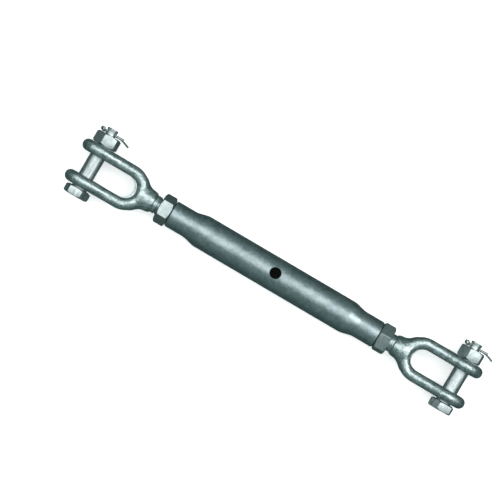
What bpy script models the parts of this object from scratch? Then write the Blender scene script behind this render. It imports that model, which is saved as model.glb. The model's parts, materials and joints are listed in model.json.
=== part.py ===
"""Rigging turnbuckle (rigging screw): a pipe barrel with a right-hand and a left-hand forged jaw.

Metres, +Z up. The origin is the middle of the barrel, on its axis. +X runs along the barrel to the
left-hand-threaded jaw, +Y along the clevis bolts towards their nuts, so it lies flat on its jaws' ears.
"""

import math

import bmesh
import bpy
from mathutils import Matrix, Vector

MM = 0.001
GAP = 0.3 * MM  # kept between separate pieces that touch
OVERRUN = 2.0 * MM  # how far a cutter runs past what it cuts
WELD = 0.001 * MM

# Screw threads: the solids hold each thread as a plain cylinder of its outside diameter.
SCREW_RADIUS = 9.4 * MM
CLEVIS_SCREW_RADIUS = 8.0 * MM
THREAD_CLEARANCE = 0.4 * MM

# Barrel: a 1 inch pipe whose ends are swaged down and tapped.
BARREL_HALF = 120.0 * MM
BARREL_RADIUS = 17.1 * MM
BARREL_BORE_RADIUS = 13.6 * MM
BARREL_END_RADIUS = 14.1 * MM
SWAGE_START = 84.0 * MM  # where the full pipe ends
SWAGE_END = 99.0 * MM  # where the tapped end begins
BARREL_CHAMFER = 0.7 * MM
BAR_HOLE_RADIUS = 5.7 * MM  # for a bar that turns the barrel, through one wall only
BAR_HOLE_TURN = math.radians(5.0)  # how far the hole is turned from +Z towards +Y

# Lock nuts on the two screws.
LOCK_NUT_FLATS = 28.0 * MM
LOCK_NUT_THICKNESS = 13.0 * MM
LOCK_NUT_INNER_FACE = BARREL_HALF + 0.4 * MM

# Jaws: a screw, a neck, and a fork of two arms round a bow.
SCREW_TIP = 14.0 * MM  # distance of each screw's inner end from the middle
SHOULDER = 138.4 * MM  # where the neck begins
PIN_X = 211.0 * MM  # distance of each clevis bolt's axis from the middle
SCREWED_OUT = {"left": 1.1 * MM, "right": -1.1 * MM}  # how far each jaw stands from those places
BOW_X = 171.6 * MM  # centre of the bow's half circle
ARM_OFFSET = 17.55 * MM  # an arm's centre line from the screw's axis
ARM_HALF_THICKNESS = 5.75 * MM
EAR_HALF_THICKNESS = 6.0 * MM
EAR_RADIUS = 20.0 * MM
ARM_HALF_HEIGHT = 9.4 * MM  # where the arms leave the bow
BOW_HALF_HEIGHT = 10.0 * MM
EAR_ROOT_HALF_HEIGHT = 17.95 * MM
EAR_ROOT_X = PIN_X - 8.8 * MM  # where an arm's edge meets its ear's rim
ARM_FLARE = 1.5  # power of the curve that widens an arm
FLASH_WIDTH = {"left": 2.6 * MM, "right": 1.2 * MM}  # forging flash left inside each bow
FLASH_HALF_THICKNESS = 1.1 * MM

# Clevis bolts and their nuts, along +Y.
BOLT_RADIUS = 8.1 * MM
EAR_HOLE_RADIUS = 8.6 * MM
HEX_FLATS = 23.8 * MM
HEAD_SEAT = -24.8 * MM
HEAD_HEIGHT = 9.2 * MM
CLEVIS_NUT_SEAT = ARM_OFFSET + EAR_HALF_THICKNESS + GAP
CLEVIS_NUT_TOP = 36.2 * MM
DOG_RADIUS = 6.0 * MM  # plain end of the bolt, past its thread
DOG_START = 35.2 * MM
BOLT_TIP = 43.4 * MM
BOLT_CHAMFER = 0.8 * MM

# Split cotter pins, along X through the dog end.
COTTER_Y = CLEVIS_NUT_TOP + 2.3 * MM
COTTER_RADIUS = 1.3 * MM
COTTER_HOLE_RADIUS = 1.7 * MM
COTTER_SPLIT = 0.1 * MM  # half the space between the two legs
COTTER_EYE_RADIUS = 2.0 * MM  # inside the eye
COTTER_EYE_X = -9.0 * MM
COTTER_ROLL = math.radians(54.0)
SHORT_LEG_END = 14.8 * MM
LONG_LEG_END = 22.6 * MM
LONG_LEG_BEND = (9.6 * MM, 14.0 * MM, math.radians(-20.0))  # start, radius, angle
SHORT_LEG_BEND = (9.0 * MM, 40.0 * MM, math.radians(5.0))
EYE_BEND = (-6.1 * MM, 8.0 * MM, math.radians(22.0))

# How each hexagon happens to be turned: the angle from +Z of the flat that faces up.
LOCK_NUT_TURNS = {"left": math.radians(3.0), "right": math.radians(-18.0)}
HEAD_TURNS = {"left": math.radians(7.0), "right": math.radians(-18.0)}
CLEVIS_NUT_TURN = math.radians(-15.5)

ROUND_STEPS = 48
SMALL_STEPS = 28
ALONG_X_FROM_Z = Matrix.Rotation(math.radians(90.0), 4, "Y")
ALONG_Y_FROM_X = Matrix.Rotation(math.radians(90.0), 4, "Z")
END_FOR_END = Matrix.Rotation(math.radians(180.0), 4, "Y")

MATERIALS = {
    # name: (colour, roughness)
    "galvanized_pipe": ((0.42, 0.47, 0.47, 1.0), 0.42),
    "galvanized_forging": ((0.45, 0.50, 0.50, 1.0), 0.48),
    "plated_fastener": ((0.62, 0.66, 0.66, 1.0), 0.35),
}


# ---- building blocks -------------------------------------------------------------------------


def clear_scene():
    for old in list(bpy.data.objects):
        bpy.data.objects.remove(old, do_unlink=True)


def material(name):
    """A plain metal of the named finish."""
    found = bpy.data.materials.get(name)
    if found:
        return found
    colour, roughness = MATERIALS[name]
    made = bpy.data.materials.new(name)
    made.use_nodes = True
    surface = made.node_tree.nodes["Principled BSDF"]
    surface.inputs["Base Color"].default_value = colour
    surface.inputs["Metallic"].default_value = 1.0
    surface.inputs["Roughness"].default_value = roughness
    return made


def object_from(shape, name, finish=None, parent=None):
    """Makes the bmesh an object; a helper, with no finish, is left out of the render."""
    mesh = bpy.data.meshes.new(name)
    shape.to_mesh(mesh)
    shape.free()
    mesh.shade_smooth()
    mesh.set_sharp_from_angle(angle=math.radians(35.0))
    made = bpy.data.objects.new(name, mesh)
    bpy.context.scene.collection.objects.link(made)
    made.parent = parent
    if finish:
        mesh.materials.append(material(finish))
    else:
        made.hide_render = True
        made.display_type = "WIRE"
    return made


def combine(target, helper, operation):
    """Adds a Boolean of the helper to the target; the helper takes the target's parent and place."""
    helper.parent = target.parent
    helper.location = target.location
    step = target.modifiers.new(helper.name, "BOOLEAN")
    step.operation = operation
    step.solver = "EXACT"
    step.object = helper


def empty(name, location):
    made = bpy.data.objects.new(name, None)
    bpy.context.scene.collection.objects.link(made)
    made.location = location
    return made


def close_up(shape):
    bmesh.ops.remove_doubles(shape, verts=shape.verts, dist=WELD)
    bmesh.ops.recalc_face_normals(shape, faces=shape.faces)
    return shape


def turned(profile, steps):
    """Turns (x, radius) points about the X axis. A profile that stays off the axis is a closed loop."""
    shape = bmesh.new()
    points = [shape.verts.new((x, 0.0, radius)) for x, radius in profile]
    edges = [shape.edges.new(pair) for pair in zip(points, points[1:])]
    if profile[0][1] > 0.0:
        edges.append(shape.edges.new((points[-1], points[0])))
    bmesh.ops.spin(
        shape,
        geom=points + edges,
        cent=(0.0, 0.0, 0.0),
        axis=(1.0, 0.0, 0.0),
        angle=math.tau,
        steps=steps,
        use_merge=True,
    )
    return close_up(shape)


def rod(start, end, radius, steps):
    """A plain cylinder along X, used as a cutter."""
    shape = bmesh.new()
    bmesh.ops.create_cone(
        shape,
        cap_ends=True,
        segments=steps,
        radius1=radius,
        radius2=radius,
        depth=end - start,
        matrix=Matrix.Translation(((start + end) / 2, 0.0, 0.0)) @ ALONG_X_FROM_Z,
    )
    return shape


def hexagon(start, end, across_flats, turn):
    """A hexagonal prism along X, with a flat facing +Z before it is turned."""
    radius = across_flats / 2 / math.cos(math.radians(30.0))
    shape = bmesh.new()
    bmesh.ops.create_cone(
        shape,
        cap_ends=True,
        segments=6,
        radius1=radius,
        radius2=radius,
        depth=end - start,
        matrix=Matrix.Translation(((start + end) / 2, 0.0, 0.0)) @ ALONG_X_FROM_Z,
    )
    shape.verts.ensure_lookup_table()
    corner = math.atan2(shape.verts[0].co.z, shape.verts[0].co.y)
    flat_up = math.radians(120.0) - corner
    bmesh.ops.rotate(
        shape,
        verts=shape.verts,
        cent=(0.0, 0.0, 0.0),
        matrix=Matrix.Rotation(flat_up - turn, 3, "X"),
    )
    return shape


def chamfer_tool(start, end, across_flats, both_ends):
    """The turned shape that rounds off a hexagon's corners where it meets the two faces."""
    corner = across_flats / 2 / math.cos(math.radians(30.0)) + 0.6 * MM
    face = across_flats / 2 * 0.96
    drop = (corner - face) * math.tan(math.radians(30.0))
    near = face if both_ends else corner
    profile = [
        (start, 0.0),
        (start, near),
        (start + (drop if both_ends else 0.5 * drop), corner),
        (end - drop, corner),
        (end, face),
        (end, 0.0),
    ]
    return turned(profile, ROUND_STEPS)


def easing(share):
    """0 to 1 with a soft start and end."""
    return share * share * (3.0 - 2.0 * share)


def between(low, high, share):
    return low + (high - low) * share


# ---- barrel ----------------------------------------------------------------------------------


def barrel():
    """The pipe, its swaged ends and the bar hole in the wall at its middle."""
    tapped = SCREW_RADIUS + THREAD_CLEARANCE + 0.05 * MM
    swage_steps = 5
    outside, inside = [], []
    for step in range(swage_steps + 1):
        share = step / swage_steps
        x = between(SWAGE_START, SWAGE_END, share)
        outside.append((x, between(BARREL_RADIUS, BARREL_END_RADIUS, easing(share))))
        inside.append((x, between(BARREL_BORE_RADIUS, tapped, easing(share))))
    outside += [
        (BARREL_HALF - BARREL_CHAMFER, BARREL_END_RADIUS),
        (BARREL_HALF, BARREL_END_RADIUS - BARREL_CHAMFER),
    ]
    inside += [
        (BARREL_HALF - BARREL_CHAMFER, tapped),
        (BARREL_HALF, tapped + BARREL_CHAMFER),
    ]
    mirrored = [(-x, radius) for x, radius in reversed(outside)]
    mirrored_inside = [(-x, radius) for x, radius in inside]
    profile = mirrored + outside + inside[::-1] + mirrored_inside
    made = object_from(turned(profile, ROUND_STEPS), "barrel", "galvanized_pipe")
    drill = rod(0.0, BARREL_RADIUS + OVERRUN, BAR_HOLE_RADIUS, SMALL_STEPS)
    upright = Matrix.Rotation(-BAR_HOLE_TURN, 4, "X") @ Matrix.Rotation(math.radians(-90.0), 4, "Y")
    bmesh.ops.transform(drill, matrix=upright, verts=drill.verts)
    combine(made, object_from(drill, "bar_hole_drill"), "DIFFERENCE")
    return made


# ---- lock nuts -------------------------------------------------------------------------------


def lock_nut(side, sign):
    start, end = LOCK_NUT_INNER_FACE, LOCK_NUT_INNER_FACE + LOCK_NUT_THICKNESS
    turn = LOCK_NUT_TURNS[side] * sign
    flip = END_FOR_END if sign < 0 else Matrix.Identity(4)
    tools = {
        "prism": hexagon(start, end, LOCK_NUT_FLATS, turn),
        "chamfers": chamfer_tool(start, end, LOCK_NUT_FLATS, True),
        "bore": rod(start - OVERRUN, end + OVERRUN, SCREW_RADIUS + THREAD_CLEARANCE, SMALL_STEPS),
    }
    for shape in tools.values():
        bmesh.ops.transform(shape, matrix=flip, verts=shape.verts)
    name = side + "_lock_nut"
    made = object_from(tools["prism"], name, "plated_fastener")
    combine(made, object_from(tools["chamfers"], name + "_chamfers"), "INTERSECT")
    combine(made, object_from(tools["bore"], name + "_bore"), "DIFFERENCE")
    return made


# ---- jaws ------------------------------------------------------------------------------------


def screw_and_neck():
    """The screw and the neck in one: rings of (x, half width along Y, half height along Z)."""
    rings = [
        (SCREW_TIP, 8.2 * MM, 8.2 * MM),
        (SCREW_TIP + 1.2 * MM, SCREW_RADIUS, SCREW_RADIUS),
        (SHOULDER, SCREW_RADIUS, SCREW_RADIUS),
        (SHOULDER + 0.9 * MM, 10.1 * MM, 10.1 * MM),
        (SHOULDER + 3.4 * MM, 10.9 * MM, 10.9 * MM),
        (SHOULDER + 8.1 * MM, 11.4 * MM, 11.3 * MM),
        (SHOULDER + 11.1 * MM, 12.6 * MM, 11.2 * MM),
        (SHOULDER + 14.1 * MM, 14.8 * MM, 11.0 * MM),
        (SHOULDER + 16.6 * MM, 17.0 * MM, 10.7 * MM),
        (SHOULDER + 18.6 * MM, 18.4 * MM, 10.2 * MM),
    ]
    shape = bmesh.new()
    first = bmesh.ops.create_circle(shape, cap_ends=True, radius=1.0, segments=SMALL_STEPS)
    ring = first["verts"]
    bmesh.ops.transform(shape, matrix=ALONG_X_FROM_Z, verts=ring)
    scale_ring(shape, ring, rings[0])
    for station in rings[1:]:
        ring = next_ring(shape, ring)
        scale_ring(shape, ring, station)
    bmesh.ops.contextual_create(shape, geom=ring)
    return close_up(shape)


def scale_ring(shape, ring, station):
    """Sets a ring's x, half width and half height, whatever they were."""
    x, half_width, half_height = station
    width = max(abs(vert.co.y) for vert in ring)
    height = max(abs(vert.co.z) for vert in ring)
    for vert in ring:
        vert.co = Vector((x, vert.co.y * half_width / width, vert.co.z * half_height / height))


def next_ring(shape, ring):
    """Extrudes a ring of points in place and returns the new ring."""
    edges = {edge for vert in ring for edge in vert.link_edges if edge.other_vert(vert) in ring}
    made = bmesh.ops.extrude_edge_only(shape, edges=list(edges))
    return [item for item in made["geom"] if isinstance(item, bmesh.types.BMVert)]


def arm_half_height(x):
    """Half the height of an arm, which widens from the bow to its ear."""
    start = BOW_X + 4.4 * MM
    share = min(max((x - start) / (EAR_ROOT_X - start), 0.0), 1.0)
    return between(ARM_HALF_HEIGHT, EAR_ROOT_HALF_HEIGHT, share**ARM_FLARE)


def fork_stations():
    """(centre, outward direction, half height) along the arms and the bow, from ear to ear."""
    arm = []
    arm_steps = 7
    for x in [PIN_X] + [between(EAR_ROOT_X, BOW_X, step / arm_steps) for step in range(arm_steps)]:
        arm.append((Vector((x, ARM_OFFSET, 0.0)), Vector((0.0, 1.0, 0.0)), arm_half_height(x)))
    bow, bow_steps = [], 14
    for step in range(bow_steps + 1):
        angle = math.radians(90.0) + math.pi * step / bow_steps
        out = Vector((math.cos(angle), math.sin(angle), 0.0))
        centre = Vector((BOW_X, 0.0, 0.0)) + out * ARM_OFFSET
        height = between(ARM_HALF_HEIGHT, BOW_HALF_HEIGHT, abs(out.x))
        bow.append((centre, out, height))
    flip = Vector((1.0, -1.0, 1.0))
    other = [(centre * flip, out * flip, height) for centre, out, height in reversed(arm)]
    return arm + bow + other


def fork_bar():
    """The two arms and the bow: a stadium-shaped section carried along its centre line."""
    round_steps = 8
    section = []
    for end in (1.0, -1.0):
        for step in range(round_steps + 1):
            angle = math.pi * (step / round_steps) + (0.0 if end > 0 else math.pi)
            section.append((math.cos(angle), math.sin(angle), end))
    shape = bmesh.new()
    ring = [shape.verts.new((cosine, sine, end)) for cosine, sine, end in section]
    shape.faces.new(ring)
    for number, (centre, out, half_height) in enumerate(fork_stations()):
        if number:
            ring = place_next_section(shape, ring)
        for vert, (cosine, sine, end) in zip(ring, section):
            lift = end * (half_height - ARM_HALF_THICKNESS) + sine * ARM_HALF_THICKNESS
            vert.co = centre + out * (cosine * ARM_HALF_THICKNESS) + Vector((0.0, 0.0, lift))
    shape.faces.new(ring)
    return close_up(shape)


def place_next_section(shape, ring):
    """Extrudes the last section and returns the new points in the same order."""
    edges = [shape.edges.get(pair) for pair in zip(ring, ring[1:] + ring[:1])]
    made = bmesh.ops.extrude_edge_only(shape, edges=edges)
    new_verts = {item for item in made["geom"] if isinstance(item, bmesh.types.BMVert)}
    ordered = []
    for vert in ring:
        linked = [edge.other_vert(vert) for edge in vert.link_edges]
        ordered.append(next(other for other in linked if other in new_verts))
    return ordered


def ear(centre_y):
    """A round ear with a full-round rim, turned about the clevis bolt's axis."""
    rim_steps = 7
    profile = [(-EAR_HALF_THICKNESS, 0.0)]
    for step in range(rim_steps + 1):
        angle = math.radians(-90.0) + math.pi * step / rim_steps
        radius = EAR_RADIUS - EAR_HALF_THICKNESS + EAR_HALF_THICKNESS * math.cos(angle)
        profile.append((EAR_HALF_THICKNESS * math.sin(angle), radius))
    profile.append((EAR_HALF_THICKNESS, 0.0))
    shape = turned(profile, 36)
    place = Matrix.Translation((PIN_X, centre_y, 0.0)) @ ALONG_Y_FROM_X
    bmesh.ops.transform(shape, matrix=place, verts=shape.verts)
    return shape


def flash(width):
    """The thin crescent of trimmed flash inside the bow, at the forging's parting line."""
    steps = 12
    inner_radius = ARM_OFFSET - ARM_HALF_THICKNESS
    near, far = [], []
    for step in range(steps + 1):
        angle = math.radians(100.0) + math.radians(160.0) * step / steps
        far.append((BOW_X + (inner_radius + 1.5 * MM) * math.cos(angle),
                    (inner_radius + 1.5 * MM) * math.sin(angle)))
        near.append((BOW_X + width + inner_radius * math.cos(angle), inner_radius * math.sin(angle)))
    shape = bmesh.new()
    outline = [shape.verts.new((x, y, -FLASH_HALF_THICKNESS)) for x, y in far + near[::-1]]
    face = shape.faces.new(outline)
    made = bmesh.ops.extrude_face_region(shape, geom=[face])
    raised = [item for item in made["geom"] if isinstance(item, bmesh.types.BMVert)]
    bmesh.ops.translate(shape, verts=raised, vec=(0.0, 0.0, 2 * FLASH_HALF_THICKNESS))
    return close_up(shape)


def jaw(side, sign):
    """One forged jaw: the screw and neck, the fork, its two ears, and the hole for the bolt."""
    name = side + "_jaw"
    hole = rod(-1.0, 1.0, EAR_HOLE_RADIUS, SMALL_STEPS)
    across = Matrix.Translation((PIN_X, 0.0, 0.0)) @ ALONG_Y_FROM_X @ Matrix.Diagonal((0.04, 1.0, 1.0, 1.0))
    bmesh.ops.transform(hole, matrix=across, verts=hole.verts)
    shapes = [
        ("fork", fork_bar(), "UNION"),
        ("upper_ear", ear(ARM_OFFSET), "UNION"),
        ("lower_ear", ear(-ARM_OFFSET), "UNION"),
        ("flash", flash(FLASH_WIDTH[side]), "UNION"),
        ("bolt_hole", hole, "DIFFERENCE"),
    ]
    neck = screw_and_neck()
    if sign < 0:
        for shape in [neck] + [shape for _, shape, _ in shapes]:
            bmesh.ops.transform(shape, matrix=END_FOR_END, verts=shape.verts)
    made = object_from(neck, name, "galvanized_forging")
    made.location.x = sign * SCREWED_OUT[side]
    for part, shape, operation in shapes:
        combine(made, object_from(shape, name + "_" + part), operation)
    return made


# ---- clevis bolts, nuts and cotter pins ------------------------------------------------------


def clevis_bolt(side, axis):
    """The bolt: hexagon head, plain shank, and a dog end drilled for the cotter pin."""
    name = side + "_clevis_bolt"
    head_face = HEAD_SEAT - HEAD_HEIGHT
    shank = [
        (HEAD_SEAT - 1.0 * MM, 0.0),
        (HEAD_SEAT - 1.0 * MM, BOLT_RADIUS),
        (CLEVIS_NUT_SEAT - 1.5 * MM, BOLT_RADIUS),
        (CLEVIS_NUT_SEAT - 1.3 * MM, CLEVIS_SCREW_RADIUS),
        (DOG_START - 1.4 * MM, CLEVIS_SCREW_RADIUS),
        (DOG_START, DOG_RADIUS),
        (BOLT_TIP - BOLT_CHAMFER, DOG_RADIUS),
        (BOLT_TIP, DOG_RADIUS - BOLT_CHAMFER),
        (BOLT_TIP, 0.0),
    ]
    body = turned(shank, SMALL_STEPS)
    head = hexagon(head_face, HEAD_SEAT, HEX_FLATS, HEAD_TURNS[side])
    rounding = chamfer_tool(-HEAD_SEAT, -head_face, HEX_FLATS, False)
    bmesh.ops.transform(rounding, matrix=Matrix.Rotation(math.pi, 4, "Z"), verts=rounding.verts)
    for shape in (body, head, rounding):
        bmesh.ops.transform(shape, matrix=ALONG_Y_FROM_X, verts=shape.verts)
    drill = rod(-DOG_RADIUS - OVERRUN, DOG_RADIUS + OVERRUN, COTTER_HOLE_RADIUS, SMALL_STEPS)
    bmesh.ops.translate(drill, verts=drill.verts, vec=(0.0, COTTER_Y, 0.0))
    made = object_from(head, name, "plated_fastener", axis)
    combine(made, object_from(rounding, name + "_head_chamfer"), "INTERSECT")
    combine(made, object_from(body, name + "_shank"), "UNION")
    combine(made, object_from(drill, name + "_cotter_hole"), "DIFFERENCE")
    return made


def clevis_nut(side, axis):
    name = side + "_clevis_nut"
    prism = hexagon(CLEVIS_NUT_SEAT, CLEVIS_NUT_TOP, HEX_FLATS, CLEVIS_NUT_TURN)
    rounding = chamfer_tool(CLEVIS_NUT_SEAT, CLEVIS_NUT_TOP, HEX_FLATS, True)
    bore = rod(CLEVIS_NUT_SEAT - OVERRUN, CLEVIS_NUT_TOP + OVERRUN,
               CLEVIS_SCREW_RADIUS + THREAD_CLEARANCE, SMALL_STEPS)
    for shape in (prism, rounding, bore):
        bmesh.ops.transform(shape, matrix=ALONG_Y_FROM_X, verts=shape.verts)
    made = object_from(prism, name, "plated_fastener", axis)
    combine(made, object_from(rounding, name + "_chamfers"), "INTERSECT")
    combine(made, object_from(bore, name + "_bore"), "DIFFERENCE")
    return made


def cotter_line():
    """The inner line of the wire, as (along the pin, across its split, outward direction)."""
    line = []
    for x in (SHORT_LEG_END, 12.0 * MM, 9.0 * MM, 3.0 * MM, -3.0 * MM, -5.6 * MM):
        line.append((x, COTTER_SPLIT, Vector((0.0, 1.0, 0.0))))
    eye_steps, opening = 10, math.radians(38.0)
    for step in range(eye_steps + 1):
        angle = opening + (math.tau - 2 * opening) * step / eye_steps
        out = Vector((math.cos(angle), math.sin(angle), 0.0))
        line.append((COTTER_EYE_X + COTTER_EYE_RADIUS * out.x, COTTER_EYE_RADIUS * out.y, out))
    for x in (-5.6, -3.0, 3.0, 9.0, 10.5, 12.0, 13.5, 15.0, 16.5):
        line.append((x * MM, -COTTER_SPLIT, Vector((0.0, -1.0, 0.0))))
    line.append((LONG_LEG_END, -COTTER_SPLIT, Vector((0.0, -1.0, 0.0))))
    return line


def cotter_section():
    """A half-round wire: (outward, sideways), flat on its inner side."""
    steps = 6
    points = []
    for step in range(steps + 1):
        angle = math.pi * step / steps
        points.append((COTTER_RADIUS * math.sin(angle), COTTER_RADIUS * math.cos(angle)))
    return points


def bend_along_y(verts, start, radius, angle):
    """Bends the points past start towards +Y for a positive angle, round an arc of that radius."""
    direction = 1.0 if start > 0.0 else -1.0
    limit = abs(angle)
    sense = math.copysign(1.0, angle)
    for vert in verts:
        past = (vert.co.x - start) * direction
        if past <= 0.0:
            continue
        turn = min(past / radius, limit)
        rest = past - turn * radius
        height = vert.co.y - COTTER_Y
        along = math.sin(turn) * (radius - sense * height) + math.cos(turn) * rest
        lift = sense * (radius - math.cos(turn) * (radius - sense * height) + math.sin(turn) * rest)
        vert.co.x = start + direction * along
        vert.co.y = COTTER_Y + lift


def cotter_pin(side, axis):
    """The split pin: one half-round wire folded at the eye, its long leg bent over the nut."""
    section = cotter_section()
    shape = bmesh.new()
    ring = [shape.verts.new((step, 0.0, 0.0)) for step in range(len(section))]
    shape.faces.new(ring)
    long_leg, eye, short_leg = [], [], []
    for number, (along, across, out) in enumerate(cotter_line()):
        if number:
            ring = place_next_section(shape, ring)
        for vert, (outward, sideways) in zip(ring, section):
            vert.co = Vector((along, across, 0.0)) + out * outward + Vector((0.0, 0.0, sideways))
        leg = short_leg if across > 0.0 else long_leg
        group = leg if along > EYE_BEND[0] else eye
        group.extend(ring)
    shape.faces.new(ring)
    close_up(shape)
    place = Matrix.Translation((0.0, COTTER_Y, 0.0)) @ Matrix.Rotation(COTTER_ROLL, 4, "X")
    bmesh.ops.transform(shape, matrix=place, verts=shape.verts)
    bend_along_y([vert for vert in long_leg if vert.is_valid], *LONG_LEG_BEND)
    bend_along_y([vert for vert in short_leg if vert.is_valid], *SHORT_LEG_BEND)
    bend_along_y([vert for vert in eye if vert.is_valid], *EYE_BEND)
    return object_from(shape, side + "_cotter_pin", "plated_fastener", axis)


# ---- the whole turnbuckle --------------------------------------------------------------------


def main():
    clear_scene()
    barrel()
    for side, sign in (("left", -1.0), ("right", 1.0)):
        lock_nut(side, sign)
        jaw(side, sign)
        axis = empty(side + "_bolt_axis", (sign * (PIN_X + SCREWED_OUT[side]), 0.0, 0.0))
        clevis_bolt(side, axis)
        clevis_nut(side, axis)
        cotter_pin(side, axis)


main()
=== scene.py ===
import json
import math

import bmesh
import bpy
from mathutils import Matrix, Vector


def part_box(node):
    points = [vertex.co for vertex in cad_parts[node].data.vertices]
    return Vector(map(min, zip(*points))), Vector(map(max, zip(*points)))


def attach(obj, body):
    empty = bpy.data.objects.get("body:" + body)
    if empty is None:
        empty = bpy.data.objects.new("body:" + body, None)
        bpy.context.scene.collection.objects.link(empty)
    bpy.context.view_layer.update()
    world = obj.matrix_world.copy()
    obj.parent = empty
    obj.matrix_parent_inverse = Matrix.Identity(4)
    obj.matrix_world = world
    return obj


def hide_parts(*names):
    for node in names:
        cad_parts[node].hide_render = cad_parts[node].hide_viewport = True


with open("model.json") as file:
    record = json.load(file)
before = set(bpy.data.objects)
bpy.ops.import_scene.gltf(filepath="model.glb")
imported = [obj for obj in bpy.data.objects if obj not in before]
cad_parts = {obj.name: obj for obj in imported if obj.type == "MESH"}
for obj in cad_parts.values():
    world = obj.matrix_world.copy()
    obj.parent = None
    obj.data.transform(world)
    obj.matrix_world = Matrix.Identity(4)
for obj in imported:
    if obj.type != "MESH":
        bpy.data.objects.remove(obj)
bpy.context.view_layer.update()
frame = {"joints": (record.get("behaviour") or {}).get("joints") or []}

# A galvanized jaw-and-jaw rigging screw, in the order it is put together. Metres throughout: +X runs
# along the barrel to the left-hand-threaded jaw and +Y along the clevis bolts towards their nuts.


# ---- barrel ----------------------------------------------------------------------------------
# The body is a length of heavy steel pipe. Both ends are swaged down hot and tapped, one with each
# hand of thread, and a hole for a turning bar is drilled in one wall. It is galvanized last.

MM = 0.001
BARREL_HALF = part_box("barrel")[1][0]
BARREL_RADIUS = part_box("barrel")[1][2]
BARREL_END_RADIUS = 14.1 * MM
BARREL_BORE = 13.5 * MM
TAPPED_BORE = 9.95 * MM
SWAGE = (83.0 * MM, 99.5 * MM)  # where the taper begins and ends, from the middle
BARREL_EDGE = 1.5 * MM  # rounding of the end rims
WALL_MIDDLE = (BARREL_BORE + BARREL_RADIUS) / 2
BAR_HOLE_RADIUS = 5.7 * MM
BAR_HOLE_LIP = 1.2 * MM
BAR_HOLE_TURN = math.radians(5.0)  # from +Z towards +Y
ROUND_SEGMENTS = 96


def arc(centre_x, centre_r, radius, start, end, steps):
    """Points (x, radius) round an arc, with its angles in degrees from the +X axis."""
    angles = [math.radians(start + (end - start) * step / steps) for step in range(steps + 1)]
    return [(centre_x + radius * math.cos(a), centre_r + radius * math.sin(a)) for a in angles]


def lathe(outline, steps=ROUND_SEGMENTS):
    """Turns an outline of (x, radius) points about the X axis. One that stays off the axis is a loop."""
    work = bmesh.new()
    points = [work.verts.new((x, 0.0, radius)) for x, radius in outline]
    edges = [work.edges.new(pair) for pair in zip(points, points[1:])]
    if outline[0][1] > 0.0:
        edges.append(work.edges.new((points[-1], points[0])))
    bmesh.ops.spin(
        work,
        geom=points + edges,
        cent=(0.0, 0.0, 0.0),
        axis=(1.0, 0.0, 0.0),
        angle=math.tau,
        steps=steps,
        use_merge=True,
    )
    return tidy(work)


def tidy(work):
    bmesh.ops.remove_doubles(work, verts=work.verts, dist=0.002 * MM)
    bmesh.ops.recalc_face_normals(work, faces=work.faces)
    return work


def piece_from(work, name, sharp=30.0):
    """Makes a bmesh an object, smooth shaded up to the given angle."""
    mesh = bpy.data.meshes.new(name)
    work.to_mesh(mesh)
    work.free()
    mesh.shade_smooth()
    mesh.set_sharp_from_angle(angle=math.radians(sharp))
    made = bpy.data.objects.new(name, mesh)
    bpy.context.scene.collection.objects.link(made)
    return made


def settle(made, sharp=30.0):
    """Makes an object's modifiers part of its mesh."""
    bpy.context.view_layer.update()
    shaped = made.evaluated_get(bpy.context.evaluated_depsgraph_get())
    mesh = bpy.data.meshes.new_from_object(shaped)
    made.modifiers.clear()
    made.data = mesh
    mesh.shade_smooth()
    mesh.set_sharp_from_angle(angle=math.radians(sharp))


def machine(made, tools, sharp=30.0):
    """Cuts each tool from the piece or welds it on. The tools are (bmesh, operation)."""
    helpers = []
    for work, operation in tools:
        helper = piece_from(work, made.name + "_tool")
        step = made.modifiers.new("tool", "BOOLEAN")
        step.operation = operation
        step.solver = "EXACT"
        step.object = helper
        helpers.append(helper)
    settle(made, sharp)
    for helper in helpers:
        bpy.data.objects.remove(helper, do_unlink=True)


def barrel_outline():
    """The pipe wall as a closed loop: outside from end to end, then back along the bore."""
    steps = 16
    outside, inside = [(BAR_HOLE_RADIUS + 3.0 * MM, BARREL_RADIUS)], []
    for step in range(steps + 1):
        share = step / steps
        ease = share * share * (3.0 - 2.0 * share)
        x = SWAGE[0] + (SWAGE[1] - SWAGE[0]) * share
        outside.append((x, BARREL_RADIUS + (BARREL_END_RADIUS - BARREL_RADIUS) * ease))
        inside.append((x, BARREL_BORE + (TAPPED_BORE - BARREL_BORE) * ease))
    outside += arc(BARREL_HALF - BARREL_EDGE, BARREL_END_RADIUS - BARREL_EDGE, BARREL_EDGE, 90, 0, 5)
    inside += [(BARREL_HALF - 1.4 * MM, TAPPED_BORE), (BARREL_HALF, TAPPED_BORE + 1.2 * MM)]
    other_outside = [(-x, radius) for x, radius in reversed(outside)]
    other_inside = [(-x, radius) for x, radius in inside]
    return other_outside + outside + inside[::-1] + other_inside


def bar_drill():
    """The drill that opens one wall at the pipe's middle, flared so that it leaves a rounded rim."""
    # the lip leaves the hole's wall upright, curls outwards, and runs straight out through the surface
    lip = arc(-0.8 * BAR_HOLE_LIP, BAR_HOLE_RADIUS + BAR_HOLE_LIP, BAR_HOLE_LIP, -90, -48, 3)
    height, radius = lip[-1]
    lip.append((height + 0.54 * BAR_HOLE_LIP, radius + 0.8 * BAR_HOLE_LIP))
    outline = [(-BARREL_RADIUS, 0.0), (-BARREL_RADIUS, BAR_HOLE_RADIUS)] + lip
    outline += [(3 * MM, lip[-1][1]), (3 * MM, 0.0)]
    work = lathe(outline, 48)
    bmesh.ops.transform(work, matrix=Matrix.Rotation(math.radians(-90.0), 4, "Y"), verts=work.verts)
    for vert in work.verts:  # every height so far is measured from the pipe's curved surface
        vert.co.z += math.sqrt(BARREL_RADIUS**2 - vert.co.y**2)
    bmesh.ops.transform(work, matrix=Matrix.Rotation(-BAR_HOLE_TURN, 4, "X"), verts=work.verts)
    return work


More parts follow.
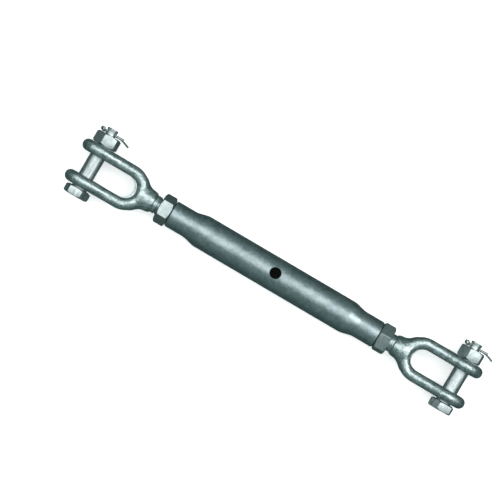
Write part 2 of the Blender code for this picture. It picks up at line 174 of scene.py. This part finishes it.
def zinc_coat(name, light, dark, roughness, patch, peel, drawn=(1.0, 1.0, 1.0)):
    """Zinc coat: cloudy patches, frosted specks and an uneven skin of the given height.

    On a drawn bar the patches run long on the axis whose number in drawn is small.
    """
    coat = bpy.data.materials.new(name)
    coat.use_nodes = True
    nodes, link = coat.node_tree.nodes, coat.node_tree.links.new
    surface = nodes["Principled BSDF"]
    surface.inputs["Metallic"].default_value = 1.0
    along = nodes.new("ShaderNodeMapping")
    along.inputs["Scale"].default_value = drawn
    link(nodes.new("ShaderNodeTexCoord").outputs["Object"], along.inputs["Vector"])
    place = along.outputs["Vector"]

    def noise(size, detail, distortion):
        made = nodes.new("ShaderNodeTexNoise")
        made.inputs["Scale"].default_value = 1.0 / size
        made.inputs["Detail"].default_value = detail
        made.inputs["Roughness"].default_value = 0.65
        made.inputs["Distortion"].default_value = distortion
        link(place, made.inputs["Vector"])
        return made.outputs["Fac"]

    def stretch(value, low, high, to_low, to_high):
        made = nodes.new("ShaderNodeMapRange")
        made.inputs["From Min"].default_value = low
        made.inputs["From Max"].default_value = high
        made.inputs["To Min"].default_value = to_low
        made.inputs["To Max"].default_value = to_high
        link(value, made.inputs["Value"])
        return made.outputs["Result"]

    def together(operation, one, other):
        made = nodes.new("ShaderNodeMath")
        made.operation = operation
        link(one, made.inputs[0])
        link(other, made.inputs[1])
        return made.outputs["Value"]

    clouds = noise(patch, 4.0, 0.6)
    blots = noise(0.28 * patch, 4.0, 0.3)
    specks = noise(0.7 * MM, 2.0, 0.0)

    tone = nodes.new("ShaderNodeMix")
    tone.data_type = "RGBA"
    tone.inputs["A"].default_value = (*dark, 1.0)
    tone.inputs["B"].default_value = (*light, 1.0)
    wide, fine = stretch(clouds, 0.36, 0.64, 0.0, 0.55), stretch(blots, 0.34, 0.66, 0.0, 0.45)
    link(together("ADD", wide, fine), tone.inputs["Factor"])
    frost = nodes.new("ShaderNodeVectorMath")
    frost.operation = "SCALE"
    link(tone.outputs["Result"], frost.inputs[0])
    link(stretch(specks, 0.35, 0.65, 0.80, 1.18), frost.inputs["Scale"])
    link(frost.outputs["Vector"], surface.inputs["Base Color"])
    worn = stretch(blots, 0.3, 0.7, roughness - 0.08, roughness + 0.04)
    link(together("ADD", worn, stretch(specks, 0.3, 0.7, 0.0, 0.08)), surface.inputs["Roughness"])

    below = None
    runs, dimples = noise(patch, 1.0, 0.3), noise(0.3 * patch, 1.0, 0.2)
    for height, depth in ((runs, peel), (dimples, 0.42 * peel), (specks, 0.04 * peel)):
        skin = nodes.new("ShaderNodeBump")
        skin.inputs["Strength"].default_value = 1.0
        skin.inputs["Distance"].default_value = depth
        link(height, skin.inputs["Height"])
        if below:
            link(below, skin.inputs["Normal"])
        below = skin.outputs["Normal"]
    link(below, surface.inputs["Normal"])
    return coat


def bore_painted_shade():
    """Painted shade for the pipe's inside: near black and mottled by noise, so the bar hole looks dark.
    """
    made = bpy.data.materials.new("bore_painted_shade")
    made.use_nodes = True
    nodes, link = made.node_tree.nodes, made.node_tree.links.new
    shade_mottle = nodes.new("ShaderNodeTexNoise")
    shade_mottle.inputs["Scale"].default_value = 1.0 / (6.0 * MM)
    link(nodes.new("ShaderNodeTexCoord").outputs["Object"], shade_mottle.inputs["Vector"])
    # painted shade: these near-black colours stand in for the shade inside the bore
    tone = nodes.new("ShaderNodeValToRGB")
    tone.color_ramp.elements[0].color = (0.012, 0.015, 0.013, 1.0)
    tone.color_ramp.elements[1].color = (0.050, 0.058, 0.052, 1.0)
    link(shade_mottle.outputs["Fac"], tone.inputs["Fac"])
    link(tone.outputs["Color"], nodes["Principled BSDF"].inputs["Base Color"])
    nodes["Principled BSDF"].inputs["Roughness"].default_value = 0.7
    return made


def mark_bore(made):
    """Gives the faces inside the pipe wall the second material, the painted shade."""
    for face in made.data.polygons:
        outward = Vector((0.0, face.center.y, face.center.z))
        faces_in = face.normal.dot(outward.normalized()) < 0.3
        deep = outward.length < WALL_MIDDLE and abs(face.center.x) < BARREL_HALF - 3 * MM
        face.material_index = int(faces_in and deep)


barrel = piece_from(lathe(barrel_outline()), "barrel_pipe")
machine(barrel, [(bar_drill(), "DIFFERENCE")])
barrel.data.materials.clear()
barrel.data.materials.append(
    zinc_coat("pipe_zinc", (0.46, 0.53, 0.555), (0.28, 0.345, 0.36), 0.39, 11.0 * MM, 0.34 * MM)
)
# the pipe's inside gets painted shade, a near-black colour in place of the shade in the bore
barrel.data.materials.append(bore_painted_shade())
mark_bore(barrel)
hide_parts("barrel")
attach(barrel, "barrel")


# ---- lock nuts -------------------------------------------------------------------------------
# One thin hexagon nut on each screw, jammed against the barrel's end to hold the setting. They are
# turned from hexagon bar, chamfered on both faces, and zinc plated.

SIDES = {"left": -1.0, "right": 1.0}
LOCK_NUT_FLATS = 28.0 * MM
LOCK_NUT_TURN = {"left": math.radians(2.5), "right": math.radians(-17.5)}
FACE_SHARE = 0.955  # a chamfered face's diameter as a share of the width across flats
NUT_MOUTH = 0.9 * MM


def chamfer(flats):
    """A blank's radius, its end face's radius, and how far back a 30 degree chamfer runs."""
    corner = flats / 2 / math.cos(math.radians(30.0)) + 1.0 * MM
    face = flats / 2 * FACE_SHARE
    return corner, face, (corner - face) * math.tan(math.radians(30.0))


def nut_blank(start, end, flats, bore):
    """A turned blank, chamfered at both ends, wider than the hexagon that will be milled from it."""
    corner, face, drop = chamfer(flats)
    outline = [
        (start, bore + NUT_MOUTH),
        (start, face),
        (start + drop, corner),
        (end - drop, corner),
        (end, face),
        (end, bore + NUT_MOUTH),
        (end - NUT_MOUTH, bore),
        (start + NUT_MOUTH, bore),
    ]
    return lathe(outline)


def mill_hexagon(work, flats, turn):
    """Mills six flats round the X axis, the first facing +Z turned towards +Y."""
    for number in range(6):
        angle = turn + math.radians(60.0) * number
        outward = Vector((0.0, math.sin(angle), math.cos(angle)))
        cut = bmesh.ops.bisect_plane(
            work,
            geom=work.verts[:] + work.edges[:] + work.faces[:],
            dist=0.0001 * MM,
            plane_co=outward * flats / 2,
            plane_no=outward,
            clear_outer=True,
        )
        rim = [item for item in cut["geom_cut"] if isinstance(item, bmesh.types.BMEdge)]
        bmesh.ops.contextual_create(work, geom=rim)
    return tidy(work)


def ease_edges(work, width, angle=18.0):
    """Breaks the sharp edges, as tumbling and plating do."""
    sharp = [
        edge
        for edge in work.edges
        if len(edge.link_faces) == 2 and edge.calc_face_angle() > math.radians(angle)
    ]
    bmesh.ops.bevel(
        work,
        geom=sharp,
        offset=width,
        offset_type="OFFSET",
        affect="EDGES",
        segments=3,
        profile=0.5,
        material=-1,
        clamp_overlap=True,
    )
    return work


nut_zinc = zinc_coat("nut_zinc", (0.55, 0.61, 0.615), (0.36, 0.405, 0.41), 0.38, 5.0 * MM, 0.14 * MM)
for side in SIDES:
    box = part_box(side + "_lock_nut")
    blank = nut_blank(box[0][0], box[1][0], LOCK_NUT_FLATS, TAPPED_BORE)
    hexagon = ease_edges(mill_hexagon(blank, LOCK_NUT_FLATS, LOCK_NUT_TURN[side]), 0.5 * MM)
    nut = piece_from(hexagon, side + "_jam_nut")
    nut.data.materials.append(nut_zinc)
    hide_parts(side + "_lock_nut")
    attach(nut, side + "_lock_nut")


# ---- jaws ------------------------------------------------------------------------------------
# Each jaw is one drop forging: a bow and two flattened arms that end in round ears, a neck, and a
# shank on which the long screw is rolled. The left jaw's screw is right-handed, the right's is
# left-handed. The forging keeps a thin trimmed crescent of flash inside its bow.

SCREW_RADIUS = 9.4 * MM
SCREW_PITCH = 2.54 * MM
SCREW_DEPTH = 1.45 * MM
SCREW_STEPS = 32
SCREW_TIP_CHAMFER = 1.6 * MM
RUN_OUT_START = 4.6 * MM  # from the shoulder back to where the thread begins to fade
RUN_OUT_LENGTH = 1.8 * MM
SHOULDER = 72.6 * MM  # from the bolt's axis back to where the neck begins
BOW = 39.4 * MM  # from the bolt's axis back to the centre of the bow
ARM_OFFSET = 17.55 * MM  # from the screw's axis out to the middle of an arm
ARM_HALF = 6.0 * MM
EAR_HALF = 6.1 * MM
EAR_RADIUS = 20.15 * MM
ARM_HEIGHT = 9.5 * MM
BOW_HEIGHT = 10.1 * MM
EAR_ROOT = 8.8 * MM  # from the bolt's axis back to where the arm is as high as EAR_ROOT_HEIGHT
EAR_ROOT_HEIGHT = 18.05 * MM
BOLT_HOLE = 8.6 * MM
FLASH_WIDTH = {"left": 2.7 * MM, "right": 1.2 * MM}
FLASH_HALF = 1.0 * MM  # half its thickness
FORGING_VOXEL = 0.7 * MM
SMOOTHING_ROUNDS = 9
bolt_x = {
    joint["name"].split("_")[0]: joint["pos_m"][0]
    for joint in frame["joints"]
    if joint["name"].endswith("bolt_turn")
}


def threaded_rod(start, end, outer, depth, pitch, hand, steps):
    """A rod along X with a helical thread: one pitch of profile wound round, then sawn off square."""
    root = outer - depth
    profile = [(0.0, root), (0.07, root), (0.43, outer), (0.57, outer), (0.93, root), (1.0, root)]
    turns = math.ceil((end - start) / pitch) + 2
    work = bmesh.new()
    points = [work.verts.new((start - pitch + share * pitch, 0.0, r)) for share, r in profile]
    edges = [work.edges.new(pair) for pair in zip(points, points[1:])]
    bmesh.ops.spin(
        work,
        geom=points + edges,
        cent=(0.0, 0.0, 0.0),
        axis=(1.0, 0.0, 0.0),
        dvec=(pitch / steps, 0.0, 0.0),
        angle=hand * math.tau * turns,
        steps=steps * turns,
    )
    bmesh.ops.remove_doubles(work, verts=work.verts, dist=0.01 * MM)
    for x, outward in ((start, -1.0), (end, 1.0)):
        cut = bmesh.ops.bisect_plane(
            work,
            geom=work.verts[:] + work.edges[:] + work.faces[:],
            dist=0.001 * MM,
            plane_co=(x, 0.0, 0.0),
            plane_no=(outward, 0.0, 0.0),
            clear_outer=True,
        )
        rim = [item for item in cut["geom_cut"] if isinstance(item, bmesh.types.BMEdge)]
        bmesh.ops.contextual_create(work, geom=rim)
    return tidy(work)


def taper_tip(work, tip_x, tip_radius, inward):
    """Chamfers the rod's free end at 45 degrees."""
    for vert in work.verts:
        limit = tip_radius + (vert.co.x - tip_x) * inward
        radius = math.hypot(vert.co.y, vert.co.z)
        if radius > limit:
            vert.co.y *= limit / radius
            vert.co.z *= limit / radius
    return work


def run_out(work, start, length, full_radius, towards):
    """Fades the thread into plain shank over a length, as the rolling dies leave it."""
    for vert in work.verts:
        share = min(max((vert.co.x - start) * towards / length, 0.0), 1.0)
        radius = math.hypot(vert.co.y, vert.co.z)
        if 0.0 < share and radius > 0.5 * full_radius:
            wanted = radius + (full_radius - radius) * share
            vert.co.y *= wanted / radius
            vert.co.z *= wanted / radius
    return work


def next_section(work, ring):
    """Extrudes the last section in place and returns its new points in the same order."""
    edges = [work.edges.get(pair) for pair in zip(ring, ring[1:] + ring[:1])]
    made = bmesh.ops.extrude_edge_only(work, edges=edges)
    fresh = {item for item in made["geom"] if isinstance(item, bmesh.types.BMVert)}
    ordered = []
    for vert in ring:
        others = [edge.other_vert(vert) for edge in vert.link_edges]
        ordered.append(next(other for other in others if other in fresh))
    return ordered


def arm_height(along):
    """Half an arm's height at a place before the bolt's axis; it widens into the ear."""
    start = BOW - 4.4 * MM
    share = min(max((start - along) / (start - EAR_ROOT), 0.0), 1.0)
    return ARM_HEIGHT + (EAR_ROOT_HEIGHT - ARM_HEIGHT) * share**1.5


def fork_stations():
    """(centre, outward, half height) from one ear round the bow to the other, bolt axis at x = 0."""
    arm = []
    for step in range(21):
        along = BOW * step / 21
        height = arm_height(along)
        arm.append((Vector((-along, ARM_OFFSET, 0.0)), Vector((0.0, 1.0, 0.0)), height))
    bow = []
    for step in range(41):
        angle = math.radians(90.0) + math.pi * step / 40
        out = Vector((math.cos(angle), math.sin(angle), 0.0))
        height = ARM_HEIGHT + (BOW_HEIGHT - ARM_HEIGHT) * abs(out.x)
        bow.append((Vector((-BOW, 0.0, 0.0)) + out * ARM_OFFSET, out, height))
    flip = Vector((1.0, -1.0, 1.0))
    return arm + bow + [(centre * flip, out * flip, height) for centre, out, height in reversed(arm)]


def fork_bar(work):
    """The flattened bar, bent round the bow, from ear to ear."""
    section = []
    for end in (1.0, -1.0):
        for step in range(13):
            angle = math.pi * step / 12 + (0.0 if end > 0 else math.pi)
            section.append((math.cos(angle), math.sin(angle), end))
    ring = [work.verts.new((cosine, sine, end)) for cosine, sine, end in section]
    work.faces.new(ring)
    for number, (centre, out, height) in enumerate(fork_stations()):
        if number:
            ring = next_section(work, ring)
        for vert, (cosine, sine, end) in zip(ring, section):
            lift = end * (height - ARM_HALF) + sine * ARM_HALF
            vert.co = centre + out * (cosine * ARM_HALF) + Vector((0.0, 0.0, lift))
    work.faces.new(ring)


def neck(work):
    """The neck, round at the screw and flaring sideways into the bow."""
    rings = [  # along from the shoulder, half width, half height, in millimetres
        (0.0, 9.6, 9.6),
        (1.0, 10.6, 10.6),
        (3.0, 11.3, 11.3),
        (8.0, 11.9, 11.7),
        (11.0, 13.1, 11.6),
        (14.0, 15.4, 11.3),
        (16.6, 17.9, 11.0),
        (18.8, 19.3, 10.5),
    ]
    turn = Matrix.Rotation(math.radians(90.0), 4, "Y")
    ring = bmesh.ops.create_circle(work, cap_ends=True, radius=MM, segments=64, matrix=turn)["verts"]
    last = (0.0, 1.0, 1.0)
    for number, station in enumerate(rings):
        if number:
            edges = {edge for vert in ring for edge in vert.link_edges if edge.other_vert(vert) in ring}
            made = bmesh.ops.extrude_edge_only(work, edges=list(edges))
            ring = [item for item in made["geom"] if isinstance(item, bmesh.types.BMVert)]
        x, width, height = station
        for vert in ring:
            vert.co.x = x * MM - SHOULDER
            vert.co.y *= width / last[1]
            vert.co.z *= height / last[2]
        last = station
    bmesh.ops.contextual_create(work, geom=ring)


def ears(work):
    """Two round ears with full-round rims."""
    rim = arc(0.0, EAR_RADIUS - EAR_HALF, EAR_HALF, 180, 0, 16)
    for centre_y in (-ARM_OFFSET, ARM_OFFSET):
        ear = lathe([(-EAR_HALF, 0.0)] + rim + [(EAR_HALF, 0.0)], 64)
        lie = Matrix.Translation((0.0, centre_y, 0.0)) @ Matrix.Rotation(math.radians(90.0), 4, "Z")
        bmesh.ops.transform(ear, matrix=lie, verts=ear.verts)
        loose = bpy.data.meshes.new("ear")
        ear.to_mesh(loose)
        ear.free()
        work.from_mesh(loose)
        bpy.data.meshes.remove(loose)


def flash(width):
    """The crescent of trimmed flash on the parting line inside the bow."""
    inner = ARM_OFFSET - ARM_HALF
    far, near = [], []
    for step in range(25):
        angle = math.radians(100.0 + 160.0 * step / 24)
        outward = (math.cos(angle), math.sin(angle))
        far.append((-BOW + (inner + 1.5 * MM) * outward[0], (inner + 1.5 * MM) * outward[1]))
        near.append((-BOW + width + inner * outward[0], inner * outward[1]))
    work = bmesh.new()
    face = work.faces.new([work.verts.new((x, y, -FLASH_HALF)) for x, y in far + near[::-1]])
    made = bmesh.ops.extrude_face_region(work, geom=[face])
    raised = [item for item in made["geom"] if isinstance(item, bmesh.types.BMVert)]
    bmesh.ops.translate(work, verts=raised, vec=(0.0, 0.0, 2 * FLASH_HALF))
    return ease_edges(tidy(work), 0.5 * MM, 60.0)


def bolt_drill():
    """The drill for the clevis bolt, with a light countersink at each cheek."""
    near, far = ARM_OFFSET - EAR_HALF, ARM_OFFSET + EAR_HALF
    sink = 0.5 * MM
    outline = []
    for cheek in (-far, -near, near, far):
        outline += [(cheek - sink, BOLT_HOLE), (cheek, BOLT_HOLE + sink), (cheek + sink, BOLT_HOLE)]
    reach = far + 4 * MM
    outline = [(-reach, 0.0), (-reach, BOLT_HOLE)] + outline + [(reach, BOLT_HOLE), (reach, 0.0)]
    drill = lathe(outline, 64)
    bmesh.ops.transform(drill, matrix=Matrix.Rotation(math.radians(90.0), 4, "Z"), verts=drill.verts)
    return drill


def forging(name):
    """The fork as it leaves the dies: bar, neck and ears blended into one skin."""
    work = bmesh.new()
    fork_bar(work)
    neck(work)
    ears(work)
    bmesh.ops.recalc_face_normals(work, faces=work.faces)
    made = piece_from(work, name)
    skin = made.modifiers.new("skin", "REMESH")
    skin.mode = "VOXEL"
    skin.voxel_size = FORGING_VOXEL
    settle(made)
    work = bmesh.new()
    work.from_mesh(made.data)
    for _ in range(SMOOTHING_ROUNDS):
        bmesh.ops.smooth_vert(
            work, verts=work.verts, factor=0.5, use_axis_x=True, use_axis_y=True, use_axis_z=True
        )
    work.to_mesh(made.data)
    work.free()
    return made


forging_zinc = zinc_coat(
    "forging_zinc", (0.76, 0.85, 0.86), (0.22, 0.28, 0.28), 0.36, 5.5 * MM, 0.50 * MM
)
for side, sign in SIDES.items():
    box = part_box(side + "_jaw")
    tip_x = box[1][0] if sign < 0 else box[0][0]
    shoulder_x = bolt_x[side] - sign * SHOULDER
    place = Matrix.Translation((bolt_x[side], 0.0, 0.0))
    if sign < 0:
        place = place @ Matrix.Rotation(math.pi, 4, "Y")
    jaw = forging(side + "_fork")
    jaw.data.transform(place)
    low, high = sorted((tip_x, shoulder_x + sign * 4.0 * MM))
    screw = threaded_rod(low, high, SCREW_RADIUS, SCREW_DEPTH, SCREW_PITCH, -sign, SCREW_STEPS)
    taper_tip(screw, tip_x, SCREW_RADIUS - SCREW_TIP_CHAMFER, sign)
    run_out(screw, shoulder_x - sign * RUN_OUT_START, RUN_OUT_LENGTH, SCREW_RADIUS - 0.1 * MM, sign)
    crescent, drill = flash(FLASH_WIDTH[side]), bolt_drill()
    for tool in (crescent, drill):
        bmesh.ops.transform(tool, matrix=place, verts=tool.verts)
    machine(jaw, [(screw, "UNION"), (crescent, "UNION"), (drill, "DIFFERENCE")], 34.0)
    jaw.data.materials.clear()
    jaw.data.materials.append(forging_zinc)
    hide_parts(side + "_jaw")
    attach(jaw, side + "_jaw")


# ---- clevis bolts ----------------------------------------------------------------------------
# A hexagon-head bolt closes each jaw. Its plain shank carries the load, its short thread takes the
# nut, and the turned-down end past the thread is drilled for a split pin. Zinc plated steel.

BOLT_FLATS = 23.8 * MM
BOLT_RADIUS = 8.1 * MM
BOLT_SEAT = -24.8 * MM
WASHER_FACE = 0.6 * MM
BOLT_PITCH = 2.31 * MM
BOLT_THREAD_DEPTH = 1.25 * MM
DOG_RADIUS = 6.0 * MM  # the turned-down end, past the thread
DOG_WAIST = 5.5 * MM
DOG_START = 35.2 * MM
PIN_HOLE = 1.7 * MM
PIN_Y = 38.5 * MM  # the split pin, level with the gap above the nut
HEAD_TURN = {"left": math.radians(7.0), "right": math.radians(-18.0)}
ALONG_BOLT = Matrix.Rotation(math.radians(90.0), 4, "Z")


def bolt_head(head_face, turn):
    """The head with its washer face, chamfered on top only, made along X like everything turned."""
    corner, face, drop = chamfer(BOLT_FLATS)
    washer = BOLT_FLATS / 2 * 0.95
    underside = BOLT_SEAT - WASHER_FACE
    outline = [
        (head_face, 0.0),
        (head_face, face),
        (head_face + drop, corner),
        (underside - 0.5 * drop, corner),
        (underside, face + 0.3 * MM),
        (underside, washer),
        (BOLT_SEAT, washer - 0.3 * MM),
        (BOLT_SEAT, 0.0),
    ]
    return ease_edges(mill_hexagon(lathe(outline), BOLT_FLATS, turn), 0.4 * MM)


def bolt_shank(tip):
    """Shank, thread groove and dog end in one turned blank; the thread is welded on after."""
    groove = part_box("left_clevis_nut")[0][1] - 1.2 * MM
    outline = [
        (BOLT_SEAT - 1.0 * MM, 0.0),
        (BOLT_SEAT - 1.0 * MM, BOLT_RADIUS),
        (groove, BOLT_RADIUS),
        (groove + 0.8 * MM, BOLT_RADIUS - 1.0 * MM),
        (DOG_START - 1.6 * MM, BOLT_RADIUS - 1.3 * MM),
        (DOG_START, DOG_RADIUS - 0.1 * MM),
        (DOG_START + 1.2 * MM, DOG_WAIST),
        (tip - 2.6 * MM, DOG_WAIST),
        (tip - 1.2 * MM, DOG_RADIUS),
        (tip - 0.5 * MM, DOG_RADIUS),
        (tip, DOG_RADIUS - 0.6 * MM),
        (tip, 0.0),
    ]
    return lathe(outline, 64)


def pin_drill():
    """The drill for the split pin, across the turned-down end."""
    across = Matrix.Translation((PIN_Y, 0.0, 0.0)) @ Matrix.Rotation(math.radians(90.0), 4, "X")
    drill = bmesh.new()
    bmesh.ops.create_cone(
        drill,
        cap_ends=True,
        segments=32,
        radius1=PIN_HOLE,
        radius2=PIN_HOLE,
        depth=30 * MM,
        matrix=across,
    )
    return drill


bolt_zinc = zinc_coat(
    "bolt_zinc", (0.68, 0.73, 0.74), (0.37, 0.41, 0.42), 0.36, 5.0 * MM, 0.30 * MM, (1.0, 0.15, 1.0)
)
for side in SIDES:
    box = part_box(side + "_clevis_bolt")
    bolt = piece_from(bolt_head(box[0][1], HEAD_TURN[side]), side + "_bolt")
    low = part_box(side + "_clevis_nut")[0][1] - 0.2 * MM
    high = DOG_START - 1.2 * MM
    thread = threaded_rod(low, high, BOLT_RADIUS - 0.1 * MM, BOLT_THREAD_DEPTH, BOLT_PITCH, 1.0, 32)
    machine(bolt, [(bolt_shank(box[1][1]), "UNION"), (thread, "UNION"), (pin_drill(), "DIFFERENCE")])
    bolt.data.transform(Matrix.Translation((bolt_x[side], 0.0, 0.0)) @ ALONG_BOLT)
    bolt.data.materials.clear()
    bolt.data.materials.append(bolt_zinc)
    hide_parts(side + "_clevis_bolt")
    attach(bolt, side + "_clevis_bolt")


# ---- clevis nuts -----------------------------------------------------------------------------
# A full-height hexagon nut on each bolt, chamfered on both faces and run up to the ear.

CLEVIS_NUT_TURN = math.radians(-15.5)
for side in SIDES:
    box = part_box(side + "_clevis_nut")
    blank = nut_blank(box[0][1], box[1][1], BOLT_FLATS, BOLT_RADIUS + 0.3 * MM)
    hexagon = ease_edges(mill_hexagon(blank, BOLT_FLATS, CLEVIS_NUT_TURN), 0.5 * MM)
    nut = piece_from(hexagon, side + "_bolt_nut")
    nut.data.transform(Matrix.Translation((bolt_x[side], 0.0, 0.0)) @ ALONG_BOLT)
    nut.data.materials.append(nut_zinc)
    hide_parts(side + "_clevis_nut")
    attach(nut, side + "_clevis_bolt")


# ---- split pins ------------------------------------------------------------------------------
# A split pin locks each nut: half-round wire folded back on itself round an eye, pushed through the
# bolt's end, with its longer leg bent down over the nut. Soft zinc plated steel wire.

PIN_RADIUS = 1.3 * MM
PIN_SPLIT = 0.08 * MM
EYE_RADIUS = 2.0 * MM
EYE_X = -9.0 * MM
PIN_ROLL = math.radians(54.0)
SHORT_LEG = 14.8 * MM
LONG_LEG = 22.6 * MM
# where each stretch begins to bend, the radius it bends round, and how far
LONG_LEG_BEND = (9.6 * MM, 14.0 * MM, math.radians(-20.0))
SHORT_LEG_BEND = (9.0 * MM, 40.0 * MM, math.radians(5.0))
EYE_BEND = (-6.1 * MM, 8.0 * MM, math.radians(22.0))


def pin_line():
    """The wire's inner line, flat side in: (along, across, outward, which stretch it is in)."""
    up, down = Vector((0.0, 1.0, 0.0)), Vector((0.0, -1.0, 0.0))
    line = []
    for step in range(17):
        line.append((SHORT_LEG - (SHORT_LEG + 5.6 * MM) * step / 16, PIN_SPLIT, up, "short"))
    opening = math.radians(38.0)
    for step in range(29):
        angle = opening + (math.tau - 2 * opening) * step / 28
        out = Vector((math.cos(angle), math.sin(angle), 0.0))
        line.append((EYE_X + EYE_RADIUS * out.x, EYE_RADIUS * out.y, out, "eye"))
    for step in range(25):
        line.append(((LONG_LEG + 5.6 * MM) * step / 24 - 5.6 * MM, -PIN_SPLIT, down, "long"))
    return line


def bend(verts, start, radius, angle):
    """Bends what lies past start round an arc, towards +Y for a positive angle."""
    direction = math.copysign(1.0, start)
    sense = math.copysign(1.0, angle)
    for vert in verts:
        past = (vert.co.x - start) * direction
        if past <= 0.0:
            continue
        turn = min(past / radius, abs(angle))
        rest = past - turn * radius
        arm = radius - sense * (vert.co.y - PIN_Y)
        vert.co.x = start + direction * (math.sin(turn) * arm + math.cos(turn) * rest)
        vert.co.y = PIN_Y + sense * (radius - math.cos(turn) * arm + math.sin(turn) * rest)


def split_pin(name):
    """One length of half-round wire, carried along its line and then bent."""
    section = []
    for step in range(13):
        angle = math.pi * step / 12
        section.append((PIN_RADIUS * math.sin(angle), PIN_RADIUS * math.cos(angle)))
    work = bmesh.new()
    ring = [work.verts.new((n, 0.0, 0.0)) for n in range(len(section))]
    work.faces.new(ring)
    stretches = {"short": [], "eye": [], "long": []}
    for number, (along, across, out, stretch) in enumerate(pin_line()):
        if number:
            ring = next_section(work, ring)
        for vert, (outward, sideways) in zip(ring, section):
            vert.co = Vector((along, across, 0.0)) + out * outward + Vector((0.0, 0.0, sideways))
        stretches[stretch].extend(ring)
    work.faces.new(ring)
    bmesh.ops.recalc_face_normals(work, faces=work.faces)
    roll = Matrix.Translation((0.0, PIN_Y, 0.0)) @ Matrix.Rotation(PIN_ROLL, 4, "X")
    bmesh.ops.transform(work, matrix=roll, verts=work.verts)
    bend(stretches["long"], *LONG_LEG_BEND)
    bend(stretches["short"], *SHORT_LEG_BEND)
    bend(stretches["eye"], *EYE_BEND)
    return piece_from(ease_edges(work, 0.18 * MM, 50.0), name, 40.0)


wire_zinc = zinc_coat("wire_zinc", (0.52, 0.57, 0.56), (0.36, 0.41, 0.40), 0.36, 2.5 * MM, 0.03 * MM)
for side in SIDES:
    pin = split_pin(side + "_split_pin")
    pin.data.transform(Matrix.Translation((bolt_x[side], 0.0, 0.0)))
    pin.data.materials.append(wire_zinc)
    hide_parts(side + "_cotter_pin")
    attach(pin, side + "_clevis_bolt")


# ---- floor, lights and camera ----------------------------------------------------------------
# A plain pale floor under the ears, one long soft box above the barrel, a small lamp above each end,
# an even fill, and a long lens that looks straight down, the barrel running down to the right.

FLOOR_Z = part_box("left_jaw")[0][2]
VIEW_TURN = math.radians(30.44)
VIEW_WIDTH = 0.5  # at the barrel's axis
LENS = 200.0
SENSOR = 36.0
MIDDLE_RIGHT = 24.55 * MM  # how far the barrel's middle lies right of the view's middle
MIDDLE_DOWN = 24.2 * MM  # and how far below it


def add(name, data, location, rotation=(0.0, 0.0, 0.0)):
    """Hangs a light or the camera in its place."""
    made = bpy.data.objects.new(name, data)
    bpy.context.scene.collection.objects.link(made)
    made.location = location
    made.rotation_euler = rotation
    return made


sheet = bmesh.new()
bmesh.ops.create_grid(sheet, x_segments=1, y_segments=1, size=4.0)
bmesh.ops.translate(sheet, verts=sheet.verts, vec=(0.0, 0.0, FLOOR_Z - 0.05 * MM))
floor = piece_from(sheet, "floor")
paint = bpy.data.materials.new("pale_floor")
paint.use_nodes = True
matt = paint.node_tree.nodes["Principled BSDF"]
matt.inputs["Base Color"].default_value = (0.92, 0.92, 0.92, 1.0)
matt.inputs["Roughness"].default_value = 0.9
matt.inputs["Specular IOR Level"].default_value = 0.1
matt.inputs["Emission Color"].default_value = (1.0, 1.0, 1.0, 1.0)
matt.inputs["Emission Strength"].default_value = 0.45
floor.data.materials.append(paint)
floor.visible_glossy = False


def soft_light(name, place, length, width, glow):
    """A soft box hung face down, as bright on its face as the given glow."""
    box_light = bpy.data.lights.new(name, "AREA")
    box_light.shape = "RECTANGLE"
    box_light.size = length
    box_light.size_y = width
    box_light.energy = glow * math.pi * length * width
    add(name, box_light, place).visible_camera = False


soft_light("long_soft_box", (0.0, 0.25, 1.10), 4.0, 1.05, 1.22)
soft_light("left_lamp", (-0.38, 0.15, 1.05), 0.30, 0.22, 3.0)
soft_light("right_lamp", (0.68, 0.42, 1.05), 0.16, 0.16, 42.0)

fill = bpy.data.lights.new("fill", "SUN")
fill.energy = 1.4
fill.angle = math.radians(120.0)
even = add("fill", fill, (0.0, 0.0, 2.0))
even.visible_glossy = False

# the room is dark below and paler above, which gives the zinc its dark lower sides
room = bpy.data.worlds.new("room")
room.use_nodes = True
parts, join = room.node_tree.nodes, room.node_tree.links.new
direction = parts.new("ShaderNodeSeparateXYZ")
join(parts.new("ShaderNodeTexCoord").outputs["Generated"], direction.inputs["Vector"])
walls = parts.new("ShaderNodeValToRGB")
walls.color_ramp.elements[0].position = 0.35
walls.color_ramp.elements[0].color = (0.062, 0.102, 0.095, 1.0)
walls.color_ramp.elements[1].position = 0.75
walls.color_ramp.elements[1].color = (0.190, 0.275, 0.262, 1.0)
rise = parts.new("ShaderNodeMapRange")
rise.inputs["From Min"].default_value = -1.0
join(direction.outputs["Z"], rise.inputs["Value"])
join(rise.outputs["Result"], walls.inputs["Fac"])
join(walls.outputs["Color"], parts["Background"].inputs["Color"])
bpy.context.scene.world = room
bpy.context.scene.view_settings.view_transform = "Standard"

lens = bpy.data.cameras.new("camera")
lens.lens = LENS
lens.sensor_width = SENSOR
right = Vector((math.cos(VIEW_TURN), math.sin(VIEW_TURN), 0.0))
up = Vector((-math.sin(VIEW_TURN), math.cos(VIEW_TURN), 0.0))
away = Vector((0.0, 0.0, VIEW_WIDTH * LENS / SENSOR))
camera = add("camera", lens, up * MIDDLE_DOWN - right * MIDDLE_RIGHT + away, (0.0, 0.0, VIEW_TURN))
lens.clip_end = 20.0
bpy.context.scene.camera = camera
